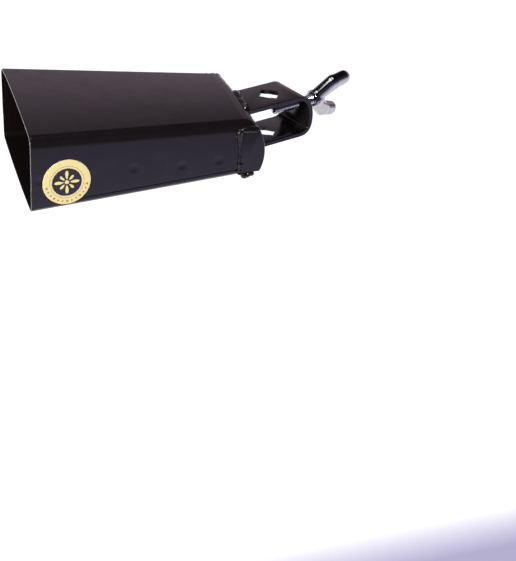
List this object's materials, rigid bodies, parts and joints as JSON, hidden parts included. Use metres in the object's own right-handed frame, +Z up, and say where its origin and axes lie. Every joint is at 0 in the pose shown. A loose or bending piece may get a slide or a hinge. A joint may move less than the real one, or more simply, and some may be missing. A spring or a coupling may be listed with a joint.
{
  "type": "cowbell",
  "caption": "Tapered sheet-steel cowbell, open at its mouth, with a U-shaped rod-clamp bracket welded to the closed end and a wing bolt that grips the rod.",
  "frame": {"origin": "inside the rod clamp: on the rod hole's axis, 16 mm below the upper leg's top face and about half way between the two legs", "axes": "+Z up the rod, +X from the bell's mouth to its closed end and on past the bracket, +Y across the bell away from the labelled side"},
  "size_m": [0.2586, 0.122, 0.0605],
  "materials": {
    "black_enamel": "semi-gloss black enamel on sheet steel",
    "bracket_enamel": "gloss black enamel on steel strip",
    "weld_enamel": "black enamel over weld beads",
    "zinc_steel": "bright zinc-plated thread",
    "chrome_head": "polished chrome plate",
    "gold_label": "gold and black printed film"
  },
  "bodies": {
    "bell": {"bell_shell": "black_enamel", "mount_bracket": "bracket_enamel", "near_seam_weld": "weld_enamel", "near_top_weld": "weld_enamel", "near_corner_weld": "weld_enamel", "far_seam_weld": "weld_enamel", "far_top_weld": "weld_enamel", "far_corner_weld": "weld_enamel", "upper_leg_weld": "weld_enamel", "lower_leg_weld": "weld_enamel", "side_label": "gold_label"},
    "stud": {"bolt_stud": "zinc_steel"},
    "wings": {"wing_head": "chrome_head"}
  },
  "joints": [
    {"name": "bolt_travel", "type": "slide", "parent": "bell", "child": "stud", "axis": [0.9415, 0.3371, 0], "range_m": [-0.01, 0.012]},
    {"name": "bolt_turn", "type": "hinge", "parent": "stud", "child": "wings", "pos_m": [0.04011, 0.01436, 0.0022], "axis": [0.9415, 0.3371, 0], "range_deg": [-2500, 3000]}
  ],
  "couplings": [
    {"joint": "bolt_travel", "follows": "bolt_turn", "m_per_rad": 0.00022458}
  ]
}
